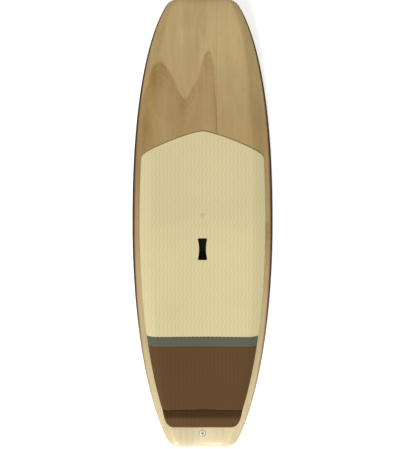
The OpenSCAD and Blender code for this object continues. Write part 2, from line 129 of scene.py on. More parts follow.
def thick(y):
    edge, power = (20.0, 1.34) if y > 0 else (22.0, 1.5)
    return edge + (CREST_T - edge) * math.sqrt(max(0.0, 1 - (abs(y) / HALF_L) ** power))


def full(y):
    return thick(y) / CREST_T


def apex_h(y):
    return thick(y) * (APEX_SHARE + (0.5 - APEX_SHARE) * (abs(y) / HALF_L) ** 4)


def low_point(y, d, t):
    tuck = TUCK_IN * full(y) - d
    apex = apex_h(y) * (1 - 2 * d / thick(y))
    return (half_w(y) - d - bezier(0, 0, 0.3 * tuck, tuck, t),
            hull_z(y) + d + bezier(apex, 0.4 * apex, 0, 0, t))


def up_point(y, d, t):
    crest = CREST_IN * full(y) - d
    apex = apex_h(y) * (1 - 2 * d / thick(y))
    rise = thick(y) - 2 * d - apex
    return (half_w(y) - d - bezier(0, 0, 0.7 * crest, crest, t),
            hull_z(y) + d + apex + rise * bezier(0, 0.15, 1, 1, t))


def deck_point(y, d, s):
    return (s * (half_w(y) - CREST_IN * full(y)),
            hull_z(y) + thick(y) - d - DISH * full(y) * (1 - s * s) ** 2)


UP_TABLE = np.linspace(0, 1, 81)


def deck_height(x, y):
    """Height of the deck's surface at x, y."""
    x = abs(x)
    crest_x = half_w(y) - CREST_IN * full(y)
    if x <= crest_x:
        return deck_point(y, 0, x / crest_x)[1]
    px, pz = up_point(y, 0, UP_TABLE)
    return float(np.interp(x, px[::-1], pz[::-1]))


def deck_slope(y):
    return math.atan((deck_height(0, y + 5) - deck_height(0, y - 5)) / 10)


def hull_slope(y):
    return math.atan((hull_z(y + 5) - hull_z(y - 5)) / 10)


def surface_normal(x, y):
    """Normal of the deck's surface at x, y."""
    step = 1.5
    dx = (deck_height(x + step, y) - deck_height(x - step, y)) / (2 * step)
    dy = (deck_height(x, y + step) - deck_height(x, y - step)) / (2 * step)
    return Vector((-dx, -dy, 1)).normalized()


def end_inset(y):
    """How far the section draws in where the ends of the board are rounded, and how far round it is."""
    k = max(0.0, (abs(y) - HALF_L + END_ROUND) / END_ROUND)
    return END_ROUND * (1 - math.sqrt(max(0.0, 1 - k * k))), k


# ---- Meshes ----

def linked(name, data):
    """A new object in the scene."""
    obj = bpy.data.objects.new(name, data)
    bpy.context.scene.collection.objects.link(obj)
    return obj


def obj_from(name, verts, faces, material, smooth=True, normals=None):
    """A new object from points in millimetres."""
    mesh = bpy.data.meshes.new(name)
    mesh.from_pydata([tuple(c * MM for c in v) for v in verts], [], faces)
    mesh.validate()
    mesh.update()
    if smooth:
        mesh.polygons.foreach_set("use_smooth", [True] * len(mesh.polygons))
    if normals is not None:
        mesh.normals_split_custom_set_from_vertices([tuple(n) for n in normals])
    mesh.materials.append(material)
    return linked(name, mesh)


def tube_faces(rows, n):
    """Faces of a closed tube whose rings, one after another, have n points each: sides, then two ends."""
    faces = []
    for r in range(rows - 1):
        for j in range(n):
            a, b = r * n + j, r * n + (j + 1) % n
            faces.append((a, a + n, b + n, b))
    last = (rows - 1) * n
    return faces + [tuple(range(n)), tuple(last + j for j in range(n - 1, -1, -1))]


def place(obj, body, slot, *nodes):
    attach(obj, body)
    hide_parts(*nodes)


def apply_modifiers(obj):
    depsgraph = bpy.context.evaluated_depsgraph_get()
    depsgraph.update()
    mesh = bpy.data.meshes.new_from_object(obj.evaluated_get(depsgraph), depsgraph=depsgraph)
    old = obj.data
    obj.modifiers.clear()
    obj.data = mesh
    bpy.data.meshes.remove(old)


# ---- Materials ----

def srgb(r, g, b):
    """Linear colour from red, green and blue out of 255."""
    out = []
    for c in (r, g, b):
        c = c / 255
        out.append(c / 12.92 if c <= 0.04045 else ((c + 0.055) / 1.055) ** 2.4)
    return (*out, 1.0)


class Nodes:
    """A short way to write a material's nodes."""

    def __init__(self, name):
        self.material = bpy.data.materials.new(name)
        self.material.use_nodes = True
        self.tree = self.material.node_tree
        self.shader = self.tree.nodes["Principled BSDF"]
        self.point = self.tree.nodes.new("ShaderNodeTexCoord").outputs["Object"]

    def link(self, a, b):
        self.tree.links.new(a, b)

    def set(self, socket, value):
        if isinstance(value, bpy.types.NodeSocket):
            self.link(value, socket)
        else:
            socket.default_value = value

    def math(self, operation, a, b=0.0, c=0.0, clamp=False):
        node = self.tree.nodes.new("ShaderNodeMath")
        node.operation = operation
        node.use_clamp = clamp
        for socket, value in zip(node.inputs, (a, b, c)):
            self.set(socket, value)
        return node.outputs[0]

    def times(self, a, b):
        return self.math("MULTIPLY", a, b)

    def plus(self, a, b, clamp=False):
        return self.math("ADD", a, b, clamp=clamp)

    def axes(self):
        node = self.tree.nodes.new("ShaderNodeSeparateXYZ")
        self.link(self.point, node.inputs[0])
        return node.outputs

    def vector(self, x=0.0, y=0.0, z=0.0):
        node = self.tree.nodes.new("ShaderNodeCombineXYZ")
        for socket, value in zip(node.inputs, (x, y, z)):
            self.set(socket, value)
        return node.outputs[0]

    def stretch(self, x, y, z):
        """A vector; each of x, y and z is a number or a (value, factor) pair."""
        return self.vector(*(self.times(*v) if isinstance(v, tuple) else v for v in (x, y, z)))

    def scaled(self, scale, offset=(0, 0, 0)):
        node = self.tree.nodes.new("ShaderNodeMapping")
        self.link(self.point, node.inputs["Vector"])
        node.inputs["Scale"].default_value = scale
        node.inputs["Location"].default_value = offset
        return node.outputs[0]

    def noise(self, point, detail=3.0, rough=0.5, distort=0.0):
        node = self.tree.nodes.new("ShaderNodeTexNoise")
        self.link(point, node.inputs["Vector"])
        node.inputs["Scale"].default_value = 1.0
        node.inputs["Detail"].default_value = detail
        node.inputs["Roughness"].default_value = rough
        node.inputs["Distortion"].default_value = distort
        return node.outputs["Fac"]

    def spread(self, value, low, high, to_low=0.0, to_high=1.0, smooth=False):
        node = self.tree.nodes.new("ShaderNodeMapRange")
        if smooth:
            node.interpolation_type = "SMOOTHSTEP"
        self.link(value, node.inputs["Value"])
        for name, number in (("From Min", low), ("From Max", high), ("To Min", to_low), ("To Max", to_high)):
            node.inputs[name].default_value = number
        return node.outputs["Result"]

    def ramp(self, value, stops):
        node = self.tree.nodes.new("ShaderNodeValToRGB")
        self.link(value, node.inputs[0])
        elements = node.color_ramp.elements
        while len(elements) < len(stops):
            elements.new(0.5)
        for element, (place_at, colour) in zip(elements, stops):
            element.position = place_at
            element.color = colour
        return node.outputs["Color"]

    def curve(self, value, points):
        """A number between 0 and 1 from another, along a smooth curve through points."""
        node = self.tree.nodes.new("ShaderNodeFloatCurve")
        self.link(value, node.inputs["Value"])
        line = node.mapping.curves[0]
        while len(line.points) < len(points):
            line.points.new(0.5, 0.5)
        for point, (at, height) in zip(line.points, sorted(points)):
            point.location = (at, height)
        node.mapping.update()
        return node.outputs[0]

    def mix(self, factor, a, b, blend="MIX"):
        node = self.tree.nodes.new("ShaderNodeMix")
        node.data_type = "RGBA"
        node.blend_type = blend
        self.set(node.inputs[0], factor)
        self.set(node.inputs[6], a)
        self.set(node.inputs[7], b)
        return node.outputs[2]

    def grey(self, value):
        """A grey colour from a number, to multiply a colour with."""
        node = self.tree.nodes.new("ShaderNodeCombineColor")
        for socket in node.inputs[:3]:
            self.link(value, socket)
        return node.outputs[0]

    def finish(self, colour, rough=0.5, height=None, depth=0.0005, strength=1.0, **sockets):
        self.set(self.shader.inputs["Base Color"], colour)
        self.set(self.shader.inputs["Roughness"], rough)
        for name, value in sockets.items():
            self.shader.inputs[name.replace("_", " ")].default_value = value
        if height is not None:
            node = self.tree.nodes.new("ShaderNodeBump")
            node.inputs["Distance"].default_value = depth
            node.inputs["Strength"].default_value = strength
            self.link(height, node.inputs["Height"])
            self.link(node.outputs["Normal"], self.shader.inputs["Normal"])
        return self.material


RAMP_END = 1.2


def along_board(stops):
    """Ramp stops from (y in metres, red green blue) pairs, for a ramp that runs over the board's length."""
    return [((at + RAMP_END) / (2 * RAMP_END), srgb(*colour)) for at, colour in stops]


def veneer(name, stops, figure, seam=None, seed=0.0, coat=0.2, lean=0.0):
    """Sliced light wood under a thin gloss. stops are (y in metres, colour); figure adds dark shapes.
    lean makes the +X side of the rear three quarters lighter than the other: painted light, standing in for
    light falling from the +X side."""
    n = Nodes(name)
    x, y, _ = n.axes()
    base = n.ramp(n.spread(y, -RAMP_END, RAMP_END), along_board(stops))
    warp = n.noise(n.scaled((2.2, 0.8, 2.2), offset=(seed, 0, 0)), detail=2)
    wavy = n.math("MULTIPLY_ADD", warp, 0.09, x)
    streak_at = n.stretch((wavy, 38.0), (y, 1.7), seed)
    streak = n.noise(streak_at, detail=5, rough=0.62)
    fine_at = n.stretch((wavy, 420.0), (y, 9.0), seed)
    fine = n.noise(fine_at, detail=3, rough=0.6)
    cloud_at = n.stretch((wavy, 9.0), (y, 2.6), seed + 3.1)
    cloud = n.noise(cloud_at, detail=4, rough=0.6, distort=0.4)
    shade = n.plus(n.spread(streak, 0.3, 0.7, -0.07, 0.06), n.spread(fine, 0.3, 0.7, -0.05, 0.045))
    shade = n.plus(shade, n.spread(cloud, 0.28, 0.72, -0.11, 0.08))
    pore_at = n.stretch((wavy, 230.0), (y, 22.0), seed + 1.7)
    pores = n.noise(pore_at, detail=2, rough=0.7)
    shade = n.plus(shade, n.spread(pores, 0.58, 0.75, 1.0, 1.0 - 0.16))
    # Painted light: over the rear three quarters, the +X side is made lighter and the -X side darker, by
    # lean.
    across = n.math("MULTIPLY_ADD", x, lean, lean / 6)
    shade = n.math("MULTIPLY_ADD", across, n.spread(y, 0.3, 0.55, 1.0, 0.0), shade)
    colour = n.mix(1.0, base, n.grey(shade), "MULTIPLY")
    if figure is not None:
        dark = figure(n, x, y, wavy)
        colour = n.mix(dark, colour, n.mix(1.0, colour, srgb(222, 207, 180), "MULTIPLY"))
    if seam is not None:
        line = seam(n, x, y)
        colour = n.mix(line, colour, srgb(96, 72, 44))
    rough = n.spread(fine, 0.2, 0.8, 0.36, 0.5)
    height = n.plus(n.times(fine, 0.6), n.times(streak, 0.4))
    return n.finish(colour, rough, height, 0.0002, 0.5, Coat_Weight=coat, Coat_Roughness=0.12,
                    Specular_IOR_Level=0.3)


def near(n, value, at, width):
    """1 where value is at a number, down to 0 at width from it."""
    return n.spread(n.math("ABSOLUTE", n.math("SUBTRACT", value, at)), 0.0, width, 1.0, 0.0, smooth=True)


def deck_figure(n, x, y, wavy):
    """A dark double arch across the nose that fades towards the pad, and darker streaks above it."""
    wobble = n.noise(n.scaled((13, 5, 13)), detail=5, rough=0.62)
    moved = n.math("MULTIPLY_ADD", n.math("SUBTRACT", wobble, 0.5), 0.05, x)
    crest = n.curve(n.spread(moved, -0.4, 0.4), [
        ((at + 400) / 800, height / 1200) for at, height in (
            (-400, 500), (-300, 740), (-262, 832), (-229, 864), (-205, 848), (-165, 785), (-128, 705),
            (-96, 672), (-45, 730), (-10, 830), (18, 900), (41, 917), (54, 885), (64, 780), (78, 500),
            (90, 200), (400, 0))])
    below = n.math("MULTIPLY_ADD", crest, 1.2, n.times(y, -1.0))
    below = n.math("MULTIPLY_ADD", n.math("SUBTRACT", wobble, 0.5), 0.04, below)
    body = n.times(n.spread(below, -0.022, 0.03, smooth=True), n.spread(below, 0.02, 0.42, 0.85, 0.12))
    patch = n.noise(n.scaled((22, 4.5, 22), offset=(1.7, 0, 0)), detail=4, rough=0.6)
    body = n.times(body, n.spread(patch, 0.35, 0.65, 0.6, 1.15))
    line = n.times(near(n, below, 0.008, 0.02), n.spread(patch, 0.35, 0.65, 0.05, 0.45))
    rings = n.times(n.math("SINE", n.times(below, 170.0)), n.spread(below, 0.0, 0.16, 0.16, 0.0))
    rings = n.times(rings, n.spread(below, -0.01, 0.01))
    tip = n.noise(n.scaled((11, 3.2, 11), offset=(4.2, 0, 0)), detail=5, rough=0.6)
    tips = n.times(n.spread(tip, 0.5, 0.68, 0.0, 0.32, smooth=True), n.spread(y, 0.7, 1.05, 0.0, 1.0))
    edge = n.times(n.spread(n.math("ABSOLUTE", x), 0.2, 0.36, 0.0, 0.4), n.spread(y, -0.5, 0.3, 0.0, 1.0))
    total = n.plus(n.plus(n.plus(body, line), rings), tips)
    return n.plus(total, edge, clamp=True)


def deck_seam(n, x, y):
    line = near(n, x, DECK_SEAM_X * MM, 0.0012)
    return n.times(line, n.spread(y, 0.1, 0.6, 0.12, 0.6))


def hull_figure(n, x, y, wavy):
    """A dark band that sweeps from the nose down across the hull, and broad faint patches."""
    wobble = n.noise(n.scaled((9, 4, 9), offset=(2.0, 0, 0)), detail=5, rough=0.62)
    centre = n.curve(n.spread(y, -0.5, 1.2), [
        ((at + 500) / 1700, (across + 400) / 800) for at, across in (
            (-500, -400), (-405, -351), (-335, -264), (-178, -159), (-21, -54), (119, 51), (294, 156),
            (590, 226), (818, 252), (1200, 180))])
    off = n.math("SUBTRACT", x, n.math("MULTIPLY_ADD", centre, 0.8, -0.4))
    off = n.math("MULTIPLY_ADD", n.math("SUBTRACT", wobble, 0.5), 0.14, off)
    band = n.times(n.spread(off, -0.05, -0.015, smooth=True),
                   n.spread(off, -0.01, 0.17, 1.0, 0.0, smooth=True))
    band = n.times(band, n.spread(y, -0.46, -0.36))
    rings = n.times(n.math("SINE", n.times(off, 130.0)), n.times(band, 0.22))
    slant = n.math("MULTIPLY_ADD", y, 0.2, wavy)
    at = n.stretch((slant, 9.0), (y, 1.9), 7.7)
    broad = n.noise(at, detail=5, rough=0.62, distort=0.5)
    patches = n.times(n.spread(broad, 0.44, 0.68, 0.0, 0.75, smooth=True),
                      n.spread(y, -1.1, -0.3, 0.35, 1.0))
    total = n.plus(n.times(band, 0.75), n.plus(rings, patches))
    return n.math("MINIMUM", n.math("MAXIMUM", total, 0.0), 1.3)


def hull_seam(n, x, y):
    front = near(n, y, HULL_SEAM_FRONT * MM, 0.0014)
    middle = n.times(near(n, x, 0.0, 0.0012), n.math("LESS_THAN", y, HULL_SEAM_FRONT * MM))
    rear = n.times(near(n, y, HULL_SEAM_REAR * MM, 0.0014), n.math("LESS_THAN", x, 0.0))
    return n.times(n.math("MAXIMUM", front, n.math("MAXIMUM", middle, rear)), 0.45)


def rail_veneer(name):
    """Dark figured wood that fades to blond at the tail."""
    n = Nodes(name)
    x, y, z = n.axes()
    flame_at = n.stretch((x, 14.0), (y, 22.0), (z, 60.0))
    flame = n.noise(flame_at, detail=6, rough=0.68, distort=1.2)
    grain_at = n.stretch((x, 60.0), (y, 6.0), (z, 420.0))
    grain = n.noise(grain_at, detail=4, rough=0.6)
    fade_at = n.math("MULTIPLY_ADD", n.math("SUBTRACT", flame, 0.5), 0.5, y)
    stops = [(-1.2, (226, 212, 190)), (-0.95, (205, 186, 158)), (-0.72, (160, 138, 108)),
             (-0.5, (104, 86, 66)), (-0.3, (72, 58, 40)), (0.1, (56, 45, 30)), (1.2, (50, 40, 27))]
    base = n.ramp(n.spread(fade_at, -RAMP_END, RAMP_END), along_board(stops))
    shade = n.plus(n.spread(flame, 0.3, 0.7, -0.32, 0.34), n.spread(grain, 0.3, 0.7, -0.12, 0.12))
    colour = n.mix(1.0, base, n.grey(n.plus(shade, 1.0)), "MULTIPLY")
    rough = n.spread(grain, 0.2, 0.8, 0.26, 0.4)
    return n.finish(colour, rough, grain, 0.00015, 0.4, Specular_IOR_Level=0.03)


def pinline_veneer(name):
    n = Nodes(name)
    x, y, z = n.axes()
    grain_at = n.stretch((x, 300.0), (y, 8.0), (z, 300.0))
    grain = n.noise(grain_at, detail=3)
    base = n.ramp(n.spread(y, -RAMP_END, RAMP_END), [
        (0.0, srgb(216, 176, 118)), (0.3, srgb(190, 148, 92)), (0.55, srgb(146, 108, 54)),
        (1.0, srgb(128, 95, 48))])
    colour = n.mix(1.0, base, n.grey(n.spread(grain, 0.25, 0.75, 0.86, 1.12)), "MULTIPLY")
    return n.finish(colour, n.spread(grain, 0.2, 0.8, 0.3, 0.42), grain, 0.0001, 0.3, Specular_IOR_Level=0.1)


def foam(name, colour, ribbed=True, painted_rib_shade=0.04):
    """Closed-cell foam, cut with slanting ribs that shift by half a rib from row to row; the light and shade
    on the ribs and the shade in their grooves are painted into the colour.
    """
    n = Nodes(name)
    x, y, _ = n.axes()
    cells = n.noise(n.scaled((700, 700, 700)), detail=2, rough=0.6)
    cloud = n.noise(n.scaled((4, 4, 4)), detail=3)
    shade = n.plus(n.spread(cells, 0.3, 0.7, 0.975, 1.02), n.spread(cloud, 0.3, 0.7, -0.02, 0.02))
    height = n.times(cells, 0.12)
    if ribbed:
        rows = n.math("DIVIDE", y, 0.051)
        slide = n.times(n.math("FRACT", rows), 0.5)
        broad = n.math("SUBTRACT", n.math("DIVIDE", x, 0.0208), slide)
        wave = n.math("SINE", n.times(broad, 2 * math.pi))
        from_middle = n.math("ABSOLUTE", n.math("SUBTRACT", n.math("FRACT", rows), 0.5))
        ends = n.spread(from_middle, 0.3, 0.5, 1.0, 0.25, smooth=True)
        # Painted light and shade: the colour is made lighter and darker across each rib.
        shade = n.math("MULTIPLY_ADD", n.times(wave, ends), painted_rib_shade, shade)
        fine = n.math("SINE", n.times(broad, 8 * math.pi))
        groove = n.spread(fine, -1.0, -0.2, 0.0, 1.0, smooth=True)
        # Painted shade: the grooves are made darker in colour, as well as being sunk by the bump.
        shade = n.math("MULTIPLY_ADD", n.math("SUBTRACT", groove, 0.7), 0.05, shade)
        height = n.plus(height, groove)
    base = n.mix(1.0, srgb(*colour), n.grey(shade), "MULTIPLY")
    return n.finish(base, 0.82, height, 0.0008, 0.55, Specular_IOR_Level=0.15)


def plastic(name, colour, rough=0.45, speckle=0.03, coat=0.0, metallic=0.0, scale=900.0, specular=0.5):
    n = Nodes(name)
    grain = n.noise(n.scaled((scale, scale, scale)), detail=3, rough=0.6)
    cloud = n.noise(n.scaled((60, 60, 60)), detail=3)
    shade = n.plus(n.spread(grain, 0.3, 0.7, 1 - speckle, 1 + speckle),
                   n.spread(cloud, 0.3, 0.7, -speckle, speckle))
    base = n.mix(1.0, srgb(*colour), n.grey(shade), "MULTIPLY")
    roughness = n.spread(cloud, 0.3, 0.7, rough - 0.05, rough + 0.07)
    return n.finish(base, roughness, grain, 0.00008, 0.35, Coat_Weight=coat, Metallic=metallic,
                    Specular_IOR_Level=specular)


# The deck's lean of 0.24 is painted light: it lightens the +X side of the rear of the deck.
deck_wood = veneer("deck_veneer", [
    (-1.2, (218, 202, 161)), (-0.95, (213, 196, 154)), (-0.68, (200, 181, 137)), (-0.42, (194, 171, 124)),
    (0.13, (178, 151, 99)), (0.45, (178, 149, 95)), (1.2, (192, 167, 115))],
    deck_figure, deck_seam, seed=0.0, lean=0.24)
hull_wood = veneer("hull_veneer", [
    (-1.2, (240, 222, 196)), (-0.93, (230, 206, 174)), (-0.68, (214, 186, 148)), (-0.15, (196, 168, 128)),
    (0.4, (184, 158, 118)), (1.2, (172, 148, 106))],
    hull_figure, hull_seam, seed=5.3)
rail_wood = rail_veneer("rail_veneer")
pin_wood = pinline_veneer("pinline_veneer")
cream_foam = foam("cream_pad", (221, 208, 160))
grey_foam = foam("grey_pad", (97, 97, 81), ribbed=False)
brown_foam = foam("brown_pad", (99, 71, 41), painted_rib_shade=0.06)
black_foam = foam("black_foam", (40, 39, 37), ribbed=False)
black_plastic = plastic("black_plastic", (9, 9, 5), 0.6, 0.06, specular=0.15)
plug_plastic = plastic("grey_plastic", (84, 88, 88), 0.42, 0.04)
vent_plastic = plastic("vent_plastic", (196, 190, 166), 0.45)
vent_metal = plastic("vent_metal", (206, 202, 186), 0.4, 0.03)
white_plastic = plastic("white_plastic", (236, 232, 212), 0.28, 0.015, coat=0.3)
tan_plastic = plastic("tan_plastic", (158, 146, 120), 0.42)
steel = plastic("steel", (178, 178, 176), 0.3, 0.05, metallic=1.0)
black_rubber = plastic("black_rubber", (22, 22, 22), 0.7, 0.05)
inner_wood = veneer("inner_wood", [(-1.2, (205, 178, 138)), (1.2, (196, 168, 128))], None, seed=9.0, coat=0.0)
inner_foam = plastic("inner_foam", (238, 238, 232), 0.8, 0.02, scale=300.0)

# ---- Outer shell of the board ----

HULL, PIN_LOW, RAIL, PIN_UP, DECK = range(5)

# How far round the ends the pinlines and then the rails begin
END_PINLINE, END_RAIL = 0.42, 0.72


def ring(y):
    """One section's points, and the kind of the face that follows each, from the bottom's middle."""
    d, _ = end_inset(y)
    edge_x = half_w(y) - TUCK_IN * full(y)
    points = [(s * edge_x, hull_z(y) + d, HULL) for s in (0.0, 0.2, 0.4, 0.6, 0.8)]
    for t in (1.0, 0.93, 0.86, 0.8, 0.74, 0.68):
        points.append((*low_point(y, d, t), HULL))
    points.append((*low_point(y, d, 0.62), PIN_LOW))
    for t in (0.5, 0.42, 0.34, 0.26, 0.18, 0.1):
        points.append((*low_point(y, d, t), RAIL))
    for t in (0.0, 0.04, 0.08, 0.12, 0.16, 0.2):
        points.append((*up_point(y, d, t), RAIL))
    points.append((*up_point(y, d, 0.24), PIN_UP))
    for t in (0.3, 0.35, 0.4, 0.46, 0.52, 0.58, 0.64, 0.7, 0.76, 0.82, 0.88, 0.94):
        points.append((*up_point(y, d, t), DECK))
    for s in (1.0, 0.94, 0.87, 0.8, 0.7, 0.6, 0.5, 0.4, 0.3, 0.2, 0.1):
        points.append((*deck_point(y, d, s), DECK))
    right = points + [(*deck_point(y, d, 0.0), DECK)]
    kinds = [p[2] for p in right[:-1]]
    left = [(-p[0], p[1]) for p in right[-2:0:-1]]
    return [(p[0], p[1]) for p in right] + left, kinds + kinds[::-1]


def shell_rows():
    n = 150
    rows = [HALF_L * math.sin(math.pi * (k / n - 0.5)) for k in range(n + 1)]
    rows = [y for y in rows if abs(y) < HALF_L - END_ROUND]
    ends = [END_ROUND * (1 - math.sin(math.radians(a))) for a in range(0, 91, 10)]
    return [-HALF_L + e for e in ends[::-1]] + rows + [HALF_L - e for e in ends]


def build_shell():
    """The whole closed skin, with a kind for each face."""
    rows = shell_rows()
    verts, kinds = [], []
    for y in rows:
        points, ring_kinds = ring(y)
        verts += [(x, y, z) for x, z in points]
    for y0, y1 in zip(rows, rows[1:]):
        _, k = end_inset((y0 + y1) / 2)
        for kind in ring_kinds:
            if k > END_RAIL:
                kind = RAIL
            elif k > END_PINLINE and kind in (HULL, DECK):
                kind = PIN_LOW if kind == HULL else PIN_UP
            kinds.append(kind)
    return verts, tube_faces(len(rows), len(ring_kinds)), kinds + [RAIL, RAIL]


PIECES = ["bottom_skin_nose", "bottom_skin_right", "bottom_skin_left_front", "bottom_skin_left_rear",
          "pinline_lower_left", "pinline_lower_right", "rail_left", "rail_right",
          "pinline_upper_left", "pinline_upper_right", "deck_skin_left", "deck_skin_right"]


def piece_of(kind, x, y):
    side = "right" if x > 0 else "left"
    if kind == HULL:
        if y > HULL_SEAM_FRONT:
            return "bottom_skin_nose"
        if x > 0:
            return "bottom_skin_right"
        return "bottom_skin_left_front" if y > HULL_SEAM_REAR else "bottom_skin_left_rear"
    if kind == DECK:
        return "deck_skin_right" if x > DECK_SEAM_X else "deck_skin_left"
    return {PIN_LOW: "pinline_lower_", RAIL: "rail_", PIN_UP: "pinline_upper_"}[kind] + side


def on_deck(y):
    """Frame with its origin on the deck at y and +Z out of it."""
    return Matrix.Translation((0, y * MM, deck_height(0, y) * MM)) @ Matrix.Rotation(deck_slope(y), 4, "X")


def plug_places():
    toe = math.radians(SIDE_TOE)
    places = []
    for side in (-1, 1):
        for end in (1, -1):
            x = side * (SIDE_X - end * math.sin(toe) * PLUG_PITCH / 2)
            places.append((x, SIDE_Y + end * PLUG_PITCH / 2, side * toe))
    for side in (-1, 1):
        for end in (1, 0, -1):
            places.append((side * REAR_X, REAR_Y + end * PLUG_PITCH, 0.0))
    return places


def at_plug(x, y, toe):
    return (Matrix.Translation((x * MM, y * MM, hull_z(y) * MM))
            @ Matrix.Rotation(hull_slope(y), 4, "X") @ Matrix.Rotation(toe, 4, "Z"))


def prism(bm, outline, low, high, matrix):
    """Adds an upright closed prism with the given outline to bm, in millimetres before the matrix."""
    n = len(outline)
    points = [bm.verts.new(matrix @ Vector((x * MM, y * MM, z * MM)))
              for z in (low, high) for x, y in outline]
    bm.faces.new(points[:n][::-1])
    bm.faces.new(points[n:])
    for i in range(n):
        j = (i + 1) % n
        bm.faces.new((points[i], points[j], points[j + n], points[i + n]))


def circle(r, n=48, cx=0.0, cy=0.0):
    turns = [2 * math.pi * i / n for i in range(n)]
    return [(cx + r * math.cos(t), cy + r * math.sin(t)) for t in turns]


def mouth_outline(grow=0.0):
    """Mouth of the handle, anticlockwise from its lower left corner."""
    length, width, waist, r = 120.0, 53.0, 40.0, 8.0
    chord, dip = length / 2 - r, (width - waist) / 2
    waist_r = (chord * chord + dip * dip) / (2 * dip)
    points = []
    for cx, cy, start in ((width / 2 - r, -length / 2 + r, -90), (width / 2 - r, length / 2 - r, 0)):
        for a in range(0, 91, 15):
            t = math.radians(start + a)
            points.append((cx + (r + grow) * math.cos(t), cy + (r + grow) * math.sin(t)))
        if start == -90:
            for k in range(1, 20):
                y = -chord + 2 * chord * k / 20
                x = waist / 2 + waist_r - math.sqrt(waist_r ** 2 - y * y)
                points.append((x + grow, y))
    return points + [(-x, -y) for x, y in points]


def build_skins():
    verts, faces, kinds = build_shell()
    mesh = bpy.data.meshes.new("shell")
    mesh.from_pydata([tuple(c * MM for c in v) for v in verts], [], faces)
    bm = bmesh.new()
    bm.from_mesh(mesh)
    bm.faces.ensure_lookup_table()
    kind_layer = bm.faces.layers.int.new("kind")
    for face, kind in zip(bm.faces, kinds):
        face[kind_layer] = kind
    for point, normal, wanted in (((DECK_SEAM_X, 0, 0), (1, 0, 0), DECK),
                                  ((0, HULL_SEAM_FRONT, 0), (0, 1, 0), HULL),
                                  ((0, HULL_SEAM_REAR, 0), (0, 1, 0), HULL)):
        chosen = [f for f in bm.faces if f[kind_layer] == wanted]
        geometry = chosen + list({e for f in chosen for e in f.edges})
        geometry += list({v for f in chosen for v in f.verts})
        bmesh.ops.bisect_plane(bm, geom=geometry, plane_co=Vector(point) * MM, plane_no=normal, dist=1e-7)
    for face in bm.faces:
        c = face.calc_center_median() * 1000
        face.material_index = PIECES.index(piece_of(face[kind_layer], c.x, c.y))
        face.smooth = True
    bm.to_mesh(mesh)
    bm.free()
    for name in PIECES:
        mesh.materials.append(bpy.data.materials.new("cut_" + name))
    smooth_tree, smooth_faces, smooth_normals = normal_source(mesh)
    shell = linked("shell", mesh)

    cutter_bm = bmesh.new()
    for place_at in plug_places():
        prism(cutter_bm, circle(PLUG_R), -10, PLUG_H, at_plug(*place_at))
    prism(cutter_bm, mouth_outline(CUP_GROW), -CUP_DEPTH, 20, on_deck(HANDLE_Y))
    prism(cutter_bm, circle(VENT_BODY_R), -20, 10, on_deck(VENT_Y))
    prism(cutter_bm, circle(LEASH_RING_R), -SKIN_T, 10, on_deck(LEASH_Y))
    cutter_mesh = bpy.data.meshes.new("cutter")
    cutter_bm.to_mesh(cutter_mesh)
    cutter_bm.free()
    cutter_mesh.materials.append(bpy.data.materials.new("cut_wall"))
    cutter = linked("cutter", cutter_mesh)
    mod = shell.modifiers.new("holes", "BOOLEAN")
    mod.operation = "DIFFERENCE"
    mod.solver = "EXACT"
    mod.material_mode = "TRANSFER"
    mod.object = cutter
    apply_modifiers(shell)

    names = [m.name for m in shell.data.materials]
    parts = {name: ([], [], {}) for name in PIECES}
    for face in shell.data.polygons:
        name = names[face.material_index]
        if name == "cut_wall":
            continue
        points, polys, index = parts[name[4:]]
        loop = []
        for v in face.vertices:
            if v not in index:
                index[v] = len(points)
                points.append(shell.data.vertices[v].co * 1000)
            loop.append(index[v])
        polys.append(loop)
    bpy.data.objects.remove(shell)
    bpy.data.objects.remove(cutter)
    for name, (points, polys, _) in parts.items():
        normals = [smooth_normal(smooth_tree, smooth_faces, smooth_normals, p * MM) for p in points]
        if name.startswith("deck"):
            material, slot = deck_wood, "deck_veneer"
        elif name.startswith("bottom"):
            material, slot = hull_wood, "hull_veneer"
        elif name.startswith("rail"):
            material, slot = rail_wood, "rail_veneer"
        else:
            material, slot = pin_wood, "pinline_veneer"
        skin = obj_from("skin_" + name, points, polys, material, normals=normals)
        place(skin, "board", slot, name)


def normal_source(mesh):
    tree = BVHTree.FromPolygons([v.co[:] for v in mesh.vertices], [tuple(p.vertices) for p in mesh.polygons])
    return tree, [tuple(p.vertices) for p in mesh.polygons], (
        [v.co.copy() for v in mesh.vertices], [v.normal.copy() for v in mesh.vertices])


def smooth_normal(tree, faces, source, point):
    """Normal of the uncut shell at the nearest point, blended from that face's corners."""
    cos, normals = source
    _, _, index, _ = tree.find_nearest(point)
    total = Vector()
    for v in faces[index]:
        total += normals[v] / (1e-6 + (cos[v] - point).length) ** 2
    return total.normalized()


build_skins()

# ---- Deck pads ----

def offset_loop(loop, distance):
    """A closed anticlockwise loop moved inwards."""
    n = len(loop)
    out = []
    for i in range(n):
        a, b, c = Vector(loop[i - 1]), Vector(loop[i]), Vector(loop[(i + 1) % n])
        u, v = (b - a).normalized(), (c - b).normalized()
        t = (u + v).normalized()
        grow = min(2.0, 1 / max(0.3, t.dot(u)))
        out.append((b.x - t.y * distance * grow, b.y + t.x * distance * grow))
    return out


def inside(loop, points):
    """Which points lie in a closed loop."""
    x, y = points[:, 0], points[:, 1]
    result = np.zeros(len(points), bool)
    for (ax, ay), (bx, by) in zip(loop, loop[1:] + loop[:1]):
        if ay != by:
            cross = (ay > y) != (by > y)
            result ^= cross & (x < (bx - ax) * (y - ay) / (by - ay) + ax)
    return result


def resample(loop, step):
    """The same closed loop with points no further apart than step."""
    out = []
    for a, b in zip(loop, loop[1:] + loop[:1]):
        n = max(1, math.ceil(math.dist(a, b) / step))
        out += [(a[0] + (b[0] - a[0]) * k / n, a[1] + (b[1] - a[1]) * k / n) for k in range(n)]
    return out


def distance_to(loop, points):
    """Distance of each point from the nearest point of a loop."""
    best = np.full(len(points), 1e9)
    for p in loop:
        best = np.minimum(best, np.hypot(points[:, 0] - p[0], points[:, 1] - p[1]))
    return best


